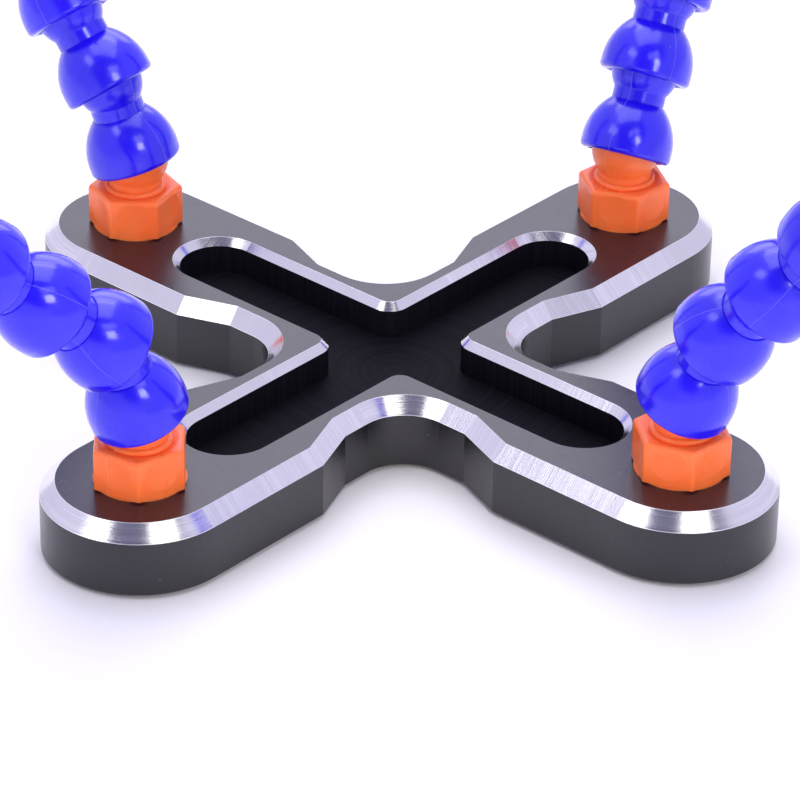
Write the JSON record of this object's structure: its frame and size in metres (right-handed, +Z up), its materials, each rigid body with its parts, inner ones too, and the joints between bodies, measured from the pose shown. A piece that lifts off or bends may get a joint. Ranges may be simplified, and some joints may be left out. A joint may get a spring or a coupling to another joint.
{
  "type": "helping hands clamp",
  "caption": "Free-standing workbench holder: an X-shaped metal base with a parts tray and jointed ball-and-socket arms, each ending in a swivelling spring clip.",
  "frame": {"origin": "centre of the base, on the underside of its non-slip pad", "axes": "+Z up; +X along the front right base arm, +Y along the back right, -X along the back left, -Y along the front left"},
  "size_m": [0.2504, 0.2719, 0.24],
  "materials": {
    "anodised_aluminium": "black anodised, satin, with bright cut chamfers",
    "pad_rubber": "matte",
    "orange_plastic": "moulded, semi-gloss",
    "blue_plastic": "moulded, gloss, slightly translucent",
    "nickel_plated_steel": "nickel plated pressed sheet",
    "pin_steel": "turned, plated",
    "spring_steel": "drawn wire"
  },
  "bodies": {
    "base": {"base_plate": "anodised_aluminium", "non_slip_pad": "pad_rubber", "base_fittings": "orange_plastic"},
    "front_right_segment_1": {"front_right_hose_segment_1": "blue_plastic"},
    "front_right_segment_2": {"front_right_hose_segment_2": "blue_plastic"},
    "front_right_segment_3": {"front_right_hose_segment_3": "blue_plastic"},
    "front_right_segment_4": {"front_right_hose_segment_4": "blue_plastic"},
    "front_right_segment_5": {"front_right_hose_segment_5": "blue_plastic"},
    "front_right_segment_6": {"front_right_hose_segment_6": "blue_plastic"},
    "front_right_segment_7": {"front_right_hose_segment_7": "blue_plastic"},
    "front_right_segment_8": {"front_right_hose_segment_8": "blue_plastic"},
    "front_right_segment_9": {"front_right_hose_segment_9": "blue_plastic"},
    "front_right_end": {"front_right_end_fitting": "orange_plastic"},
    "front_right_clip": {"front_right_clip_fixed_jaw": "nickel_plated_steel", "front_right_clip_pins": "pin_steel", "front_right_clip_torsion_spring": "spring_steel"},
    "front_right_lever_jaw": {"front_right_clip_moving_jaw": "nickel_plated_steel"},
    "back_right_segment_1": {"back_right_hose_segment_1": "blue_plastic"},
    "back_right_segment_2": {"back_right_hose_segment_2": "blue_plastic"},
    "back_right_segment_3": {"back_right_hose_segment_3": "blue_plastic"},
    "back_right_segment_4": {"back_right_hose_segment_4": "blue_plastic"},
    "back_right_segment_5": {"back_right_hose_segment_5": "blue_plastic"},
    "back_right_segment_6": {"back_right_hose_segment_6": "blue_plastic"},
    "back_right_segment_7": {"back_right_hose_segment_7": "blue_plastic"},
    "back_right_segment_8": {"back_right_hose_segment_8": "blue_plastic"},
    "back_right_segment_9": {"back_right_hose_segment_9": "blue_plastic"},
    "back_right_end": {"back_right_end_fitting": "orange_plastic"},
    "back_right_clip": {"back_right_clip_fixed_jaw": "nickel_plated_steel", "back_right_clip_pins": "pin_steel", "back_right_clip_torsion_spring": "spring_steel"},
    "back_right_lever_jaw": {"back_right_clip_moving_jaw": "nickel_plated_steel"},
    "back_left_segment_1": {"back_left_hose_segment_1": "blue_plastic"},
    "back_left_segment_2": {"back_left_hose_segment_2": "blue_plastic"},
    "back_left_segment_3": {"back_left_hose_segment_3": "blue_plastic"},
    "back_left_segment_4": {"back_left_hose_segment_4": "blue_plastic"},
    "back_left_segment_5": {"back_left_hose_segment_5": "blue_plastic"},
    "back_left_segment_6": {"back_left_hose_segment_6": "blue_plastic"},
    "back_left_segment_7": {"back_left_hose_segment_7": "blue_plastic"},
    "back_left_segment_8": {"back_left_hose_segment_8": "blue_plastic"},
    "back_left_segment_9": {"back_left_hose_segment_9": "blue_plastic"},
    "back_left_end": {"back_left_end_fitting": "orange_plastic"},
    "back_left_clip": {"back_left_clip_fixed_jaw": "nickel_plated_steel", "back_left_clip_pins": "pin_steel", "back_left_clip_torsion_spring": "spring_steel"},
    "back_left_lever_jaw": {"back_left_clip_moving_jaw": "nickel_plated_steel"},
    "front_left_segment_1": {"front_left_hose_segment_1": "blue_plastic"},
    "front_left_segment_2": {"front_left_hose_segment_2": "blue_plastic"},
    "front_left_segment_3": {"front_left_hose_segment_3": "blue_plastic"},
    "front_left_segment_4": {"front_left_hose_segment_4": "blue_plastic"},
    "front_left_segment_5": {"front_left_hose_segment_5": "blue_plastic"},
    "front_left_segment_6": {"front_left_hose_segment_6": "blue_plastic"},
    "front_left_segment_7": {"front_left_hose_segment_7": "blue_plastic"},
    "front_left_segment_8": {"front_left_hose_segment_8": "blue_plastic"},
    "front_left_segment_9": {"front_left_hose_segment_9": "blue_plastic"},
    "front_left_end": {"front_left_end_fitting": "orange_plastic"},
    "front_left_clip": {"front_left_clip_fixed_jaw": "nickel_plated_steel", "front_left_clip_pins": "pin_steel", "front_left_clip_torsion_spring": "spring_steel"},
    "front_left_lever_jaw": {"front_left_clip_moving_jaw": "nickel_plated_steel"}
  },
  "joints": [
    {"name": "front_right_jaw", "type": "hinge", "parent": "front_right_clip", "child": "front_right_lever_jaw", "pos_m": [0.11677, 0.00216, 0.20613], "axis": [-0.0175, -0.9998, 0], "range_deg": [0, 22], "stiffness_Nm_per_rad": 0.12, "springref_deg": -34.38, "deforming": ["front_right_clip_torsion_spring"]},
    {"name": "back_right_jaw", "type": "hinge", "parent": "back_right_clip", "child": "back_right_lever_jaw", "pos_m": [-0.01011, 0.11192, 0.208], "axis": [0.9703, 0.2419, 0], "range_deg": [0, 22], "stiffness_Nm_per_rad": 0.12, "springref_deg": -34.38, "deforming": ["back_right_clip_torsion_spring"]},
    {"name": "back_left_jaw", "type": "hinge", "parent": "back_left_clip", "child": "back_left_lever_jaw", "pos_m": [-0.11436, -0.0021, 0.20722], "axis": [0.0175, 0.9998, 0], "range_deg": [0, 22], "stiffness_Nm_per_rad": 0.12, "springref_deg": -34.38, "deforming": ["back_left_clip_torsion_spring"]},
    {"name": "front_left_jaw", "type": "hinge", "parent": "front_left_clip", "child": "front_left_lever_jaw", "pos_m": [-0.01171, -0.14068, 0.19375], "axis": [-0.9962, 0.0872, 0], "range_deg": [0, 22], "stiffness_Nm_per_rad": 0.12, "springref_deg": -34.38, "deforming": ["front_left_clip_torsion_spring"]},
    {"name": "front_right_clip_swivel", "type": "hinge", "parent": "front_right_end", "child": "front_right_clip", "pos_m": [0.11677, 0.00216, 0.18613], "axis": [0, 0, 1], "continuous": true},
    {"name": "back_right_clip_swivel", "type": "hinge", "parent": "back_right_end", "child": "back_right_clip", "pos_m": [-0.01011, 0.11192, 0.188], "axis": [0, 0, 1], "continuous": true},
    {"name": "back_left_clip_swivel", "type": "hinge", "parent": "back_left_end", "child": "back_left_clip", "pos_m": [-0.11436, -0.0021, 0.18722], "axis": [0, 0, 1], "continuous": true},
    {"name": "front_left_clip_swivel", "type": "hinge", "parent": "front_left_end", "child": "front_left_clip", "pos_m": [-0.01171, -0.14068, 0.17375], "axis": [0, 0, 1], "continuous": true},
    {"name": "front_right_ball_1", "type": "hinge", "parent": "base", "child": "front_right_segment_1", "pos_m": [0.072, 0, 0.03], "axis": [-0.0872, 0.9962, 0], "range_deg": [-56, 8]},
    {"name": "front_right_ball_2", "type": "hinge", "parent": "front_right_segment_1", "child": "front_right_segment_2", "pos_m": [0.07877, 0.00059, 0.04526], "axis": [-0.777, 0.0136, 0.6293], "range_deg": [-26, 31.1]},
    {"name": "front_right_ball_3", "type": "hinge", "parent": "front_right_segment_2", "child": "front_right_segment_3", "pos_m": [0.08927, 0.00041, 0.05824], "axis": [0.1908, -0.9816, 0], "range_deg": [-29.6, 32.8]},
    {"name": "front_right_ball_4", "type": "hinge", "parent": "front_right_segment_3", "child": "front_right_segment_4", "pos_m": [0.09981, 0.00246, 0.07103], "axis": [0.8659, -0.0151, -0.5], "range_deg": [-38.5, 23]},
    {"name": "front_right_ball_5", "type": "hinge", "parent": "front_right_segment_4", "child": "front_right_segment_5", "pos_m": [0.10816, 0.00231, 0.08549], "axis": [0.0175, 0.9998, 0], "range_deg": [-22, 42]},
    {"name": "front_right_ball_6", "type": "hinge", "parent": "front_right_segment_5", "child": "front_right_segment_6", "pos_m": [0.11387, 0.00221, 0.10118], "axis": [-0.9847, 0.0172, 0.1736], "range_deg": [-30.6, 30.6]},
    {"name": "front_right_ball_7", "type": "hinge", "parent": "front_right_segment_6", "child": "front_right_segment_7", "pos_m": [0.11677, 0.00216, 0.11763], "axis": [-0.0175, -0.9998, 0], "range_deg": [-42, 22]},
    {"name": "front_right_ball_8", "type": "hinge", "parent": "front_right_segment_7", "child": "front_right_segment_8", "pos_m": [0.11677, 0.00216, 0.13433], "axis": [0.9998, -0.0175, 0], "range_deg": [-32, 32]},
    {"name": "front_right_ball_9", "type": "hinge", "parent": "front_right_segment_8", "child": "front_right_segment_9", "pos_m": [0.11677, 0.00216, 0.15103], "axis": [0.0175, 0.9998, 0], "range_deg": [-32, 32]},
    {"name": "front_right_ball_10", "type": "hinge", "parent": "front_right_segment_9", "child": "front_right_end", "pos_m": [0.11677, 0.00216, 0.16773], "axis": [-0.9998, 0.0175, 0], "range_deg": [-32, 32]},
    {"name": "back_right_ball_1", "type": "hinge", "parent": "base", "child": "back_right_segment_1", "pos_m": [0, 0.072, 0.03], "axis": [-0.9659, -0.2588, 0], "range_deg": [-63, 1]},
    {"name": "back_right_ball_2", "type": "hinge", "parent": "back_right_segment_1", "child": "back_right_segment_2", "pos_m": [-0.00223, 0.08031, 0.04432], "axis": [0.2029, -0.8138, 0.5446], "range_deg": [-31.4, 32.5]},
    {"name": "back_right_ball_3", "type": "hinge", "parent": "back_right_segment_2", "child": "back_right_segment_3", "pos_m": [-0.00443, 0.08913, 0.05832], "axis": [0.9703, 0.2419, 0], "range_deg": [-29, 35]},
    {"name": "back_right_ball_4", "type": "hinge", "parent": "back_right_segment_3", "child": "back_right_segment_4", "pos_m": [-0.0068, 0.09866, 0.07183], "axis": [-0.2174, 0.8721, -0.4384], "range_deg": [-30.6, 30.6]},
    {"name": "back_right_ball_5", "type": "hinge", "parent": "back_right_segment_4", "child": "back_right_segment_5", "pos_m": [-0.00857, 0.10576, 0.08684], "axis": [-0.9703, -0.2419, 0], "range_deg": [-22, 42]},
    {"name": "back_right_ball_6", "type": "hinge", "parent": "back_right_segment_5", "child": "back_right_segment_6", "pos_m": [-0.00969, 0.11023, 0.10289], "axis": [0.2406, -0.965, 0.1045], "range_deg": [-30.6, 30.6]},
    {"name": "back_right_ball_7", "type": "hinge", "parent": "back_right_segment_6", "child": "back_right_segment_7", "pos_m": [-0.01011, 0.11192, 0.1195], "axis": [0.9703, 0.2419, 0], "range_deg": [-38, 26]},
    {"name": "back_right_ball_8", "type": "hinge", "parent": "back_right_segment_7", "child": "back_right_segment_8", "pos_m": [-0.01011, 0.11192, 0.1362], "axis": [-0.2419, 0.9703, 0], "range_deg": [-32, 32]},
    {"name": "back_right_ball_9", "type": "hinge", "parent": "back_right_segment_8", "child": "back_right_segment_9", "pos_m": [-0.01011, 0.11192, 0.1529], "axis": [-0.9703, -0.2419, 0], "range_deg": [-32, 32]},
    {"name": "back_right_ball_10", "type": "hinge", "parent": "back_right_segment_9", "child": "back_right_end", "pos_m": [-0.01011, 0.11192, 0.1696], "axis": [0.2419, -0.9703, 0], "range_deg": [-32, 32]},
    {"name": "back_left_ball_1", "type": "hinge", "parent": "base", "child": "back_left_segment_1", "pos_m": [-0.072, 0, 0.03], "axis": [0.2924, -0.9563, 0], "range_deg": [-52, 12]},
    {"name": "back_left_ball_2", "type": "hinge", "parent": "back_left_segment_1", "child": "back_left_segment_2", "pos_m": [-0.07746, -0.00167, 0.04569], "axis": [0.785, 0.0687, 0.6157], "range_deg": [-22.4, 31]},
    {"name": "back_left_ball_3", "type": "hinge", "parent": "back_left_segment_2", "child": "back_left_segment_3", "pos_m": [-0.08771, -0.00257, 0.05885], "axis": [0.0175, 0.9998, 0], "range_deg": [-30.7, 33]},
    {"name": "back_left_ball_4", "type": "hinge", "parent": "back_left_segment_3", "child": "back_left_segment_4", "pos_m": [-0.09821, -0.00238, 0.07183], "axis": [-0.8745, 0.0153, -0.4848], "range_deg": [-30.6, 30.6]},
    {"name": "back_left_ball_5", "type": "hinge", "parent": "back_left_segment_4", "child": "back_left_segment_5", "pos_m": [-0.10631, -0.00224, 0.08644], "axis": [-0.0175, -0.9998, 0], "range_deg": [-22, 42]},
    {"name": "back_left_ball_6", "type": "hinge", "parent": "back_left_segment_5", "child": "back_left_segment_6", "pos_m": [-0.11174, -0.00215, 0.10223], "axis": [0.9875, -0.0172, 0.1564], "range_deg": [-30.6, 30.6]},
    {"name": "back_left_ball_7", "type": "hinge", "parent": "back_left_segment_6", "child": "back_left_segment_7", "pos_m": [-0.11436, -0.0021, 0.11872], "axis": [0.0175, 0.9998, 0], "range_deg": [-41, 23]},
    {"name": "back_left_ball_8", "type": "hinge", "parent": "back_left_segment_7", "child": "back_left_segment_8", "pos_m": [-0.11436, -0.0021, 0.13542], "axis": [-0.9998, 0.0175, 0], "range_deg": [-32, 32]},
    {"name": "back_left_ball_9", "type": "hinge", "parent": "back_left_segment_8", "child": "back_left_segment_9", "pos_m": [-0.11436, -0.0021, 0.15212], "axis": [-0.0175, -0.9998, 0], "range_deg": [-32, 32]},
    {"name": "back_left_ball_10", "type": "hinge", "parent": "back_left_segment_9", "child": "back_left_end", "pos_m": [-0.11436, -0.0021, 0.16882], "axis": [0.9998, -0.0175, 0], "range_deg": [-32, 32]},
    {"name": "front_left_ball_1", "type": "hinge", "parent": "base", "child": "front_left_segment_1", "pos_m": [0, -0.072, 0.03], "axis": [0.9781, -0.2079, 0], "range_deg": [-52, 12]},
    {"name": "front_left_ball_2", "type": "hinge", "parent": "front_left_segment_1", "child": "front_left_segment_2", "pos_m": [-0.00119, -0.07759, 0.04569], "axis": [0.1844, 0.6432, 0.7431], "range_deg": [-14.5, 17.6]},
    {"name": "front_left_ball_3", "type": "hinge", "parent": "front_left_segment_2", "child": "front_left_segment_3", "pos_m": [-0.00461, -0.08952, 0.05687], "axis": [-0.9563, 0.2924, 0], "range_deg": [-31, 33]},
    {"name": "front_left_ball_4", "type": "hinge", "parent": "front_left_segment_3", "child": "front_left_segment_4", "pos_m": [-0.00829, -0.10157, 0.06782], "axis": [-0.0572, -0.6536, -0.7547], "range_deg": [-23, 41]},
    {"name": "front_left_ball_5", "type": "hinge", "parent": "front_left_segment_4", "child": "front_left_segment_5", "pos_m": [-0.00939, -0.11413, 0.07878], "axis": [0.9962, -0.0872, 0], "range_deg": [-22, 42]},
    {"name": "front_left_ball_6", "type": "hinge", "parent": "front_left_segment_5", "child": "front_left_segment_6", "pos_m": [-0.01031, -0.12459, 0.09176], "axis": [0.0762, 0.8713, 0.4848], "range_deg": [-30.6, 30.6]},
    {"name": "front_left_ball_7", "type": "hinge", "parent": "front_left_segment_6", "child": "front_left_segment_7", "pos_m": [-0.01101, -0.13266, 0.10636], "axis": [-0.9962, 0.0872, 0], "range_deg": [-42, 22]},
    {"name": "front_left_ball_8", "type": "hinge", "parent": "front_left_segment_7", "child": "front_left_segment_8", "pos_m": [-0.01149, -0.13808, 0.12215], "axis": [-0.0861, -0.9839, -0.1564], "range_deg": [-30.6, 30.6]},
    {"name": "front_left_ball_9", "type": "hinge", "parent": "front_left_segment_8", "child": "front_left_segment_9", "pos_m": [-0.01171, -0.14068, 0.13865], "axis": [0.9962, -0.0872, 0], "range_deg": [-23, 41]},
    {"name": "front_left_ball_10", "type": "hinge", "parent": "front_left_segment_9", "child": "front_left_end", "pos_m": [-0.01171, -0.14068, 0.15535], "axis": [0.0872, 0.9962, 0], "range_deg": [-32, 32]}
  ]
}
